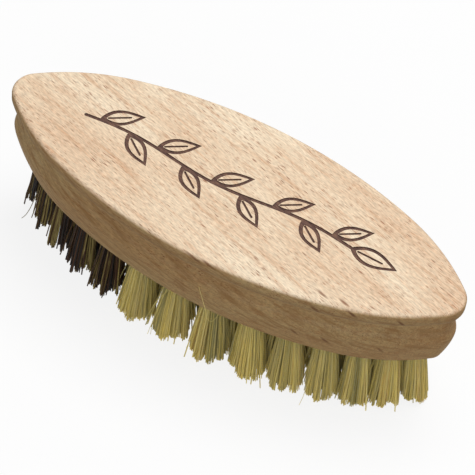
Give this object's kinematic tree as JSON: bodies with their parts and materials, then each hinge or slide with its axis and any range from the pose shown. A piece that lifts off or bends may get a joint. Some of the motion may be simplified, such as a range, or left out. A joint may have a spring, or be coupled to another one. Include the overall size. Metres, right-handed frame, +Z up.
{
  "type": "vegetable brush",
  "caption": "Hand-held scrubbing brush: eye-shaped beech block with a finger groove round its side and tufts of stiff dark and softer pale plant fibre set in its underside.",
  "frame": {"origin": "centre of the brush on the plane that its bristle tips stand on", "axes": "+X along the brush towards the pale bristles, +Y across it, +Z up through the flat top of the block"},
  "size_m": [0.135, 0.05, 0.0445],
  "materials": {
    "beech": "sanded smooth, lightly oiled, fine grain",
    "anchor_wire": "drawn flat wire",
    "dark_fibre": "stiff dark plant fibre",
    "pale_fibre": "pale plant fibre"
  },
  "bodies": {
    "root": {"beech_block": "beech", "wire_anchors": "anchor_wire", "dark_tuft_01": "dark_fibre", "dark_tuft_02": "dark_fibre", "dark_tuft_03": "dark_fibre", "dark_tuft_04": "dark_fibre", "dark_tuft_05": "dark_fibre", "dark_tuft_06": "dark_fibre", "dark_tuft_07": "dark_fibre", "dark_tuft_08": "dark_fibre", "dark_tuft_09": "dark_fibre", "dark_tuft_10": "dark_fibre", "dark_tuft_11": "dark_fibre", "dark_tuft_12": "dark_fibre", "dark_tuft_13": "dark_fibre", "dark_tuft_14": "dark_fibre", "pale_tuft_01": "pale_fibre", "pale_tuft_02": "pale_fibre", "pale_tuft_03": "pale_fibre", "pale_tuft_04": "pale_fibre", "pale_tuft_05": "pale_fibre", "pale_tuft_06": "pale_fibre", "pale_tuft_07": "pale_fibre", "pale_tuft_08": "pale_fibre", "pale_tuft_09": "pale_fibre", "pale_tuft_10": "pale_fibre", "pale_tuft_11": "pale_fibre", "pale_tuft_12": "pale_fibre", "pale_tuft_13": "pale_fibre", "pale_tuft_14": "pale_fibre", "pale_tuft_15": "pale_fibre", "pale_tuft_16": "pale_fibre", "pale_tuft_17": "pale_fibre", "pale_tuft_18": "pale_fibre", "pale_tuft_19": "pale_fibre", "pale_tuft_20": "pale_fibre", "pale_tuft_21": "pale_fibre", "pale_tuft_22": "pale_fibre", "pale_tuft_23": "pale_fibre", "pale_tuft_24": "pale_fibre", "pale_tuft_25": "pale_fibre", "pale_tuft_26": "pale_fibre", "pale_tuft_27": "pale_fibre", "pale_tuft_28": "pale_fibre", "pale_tuft_29": "pale_fibre"}
  },
  "joints": []
}
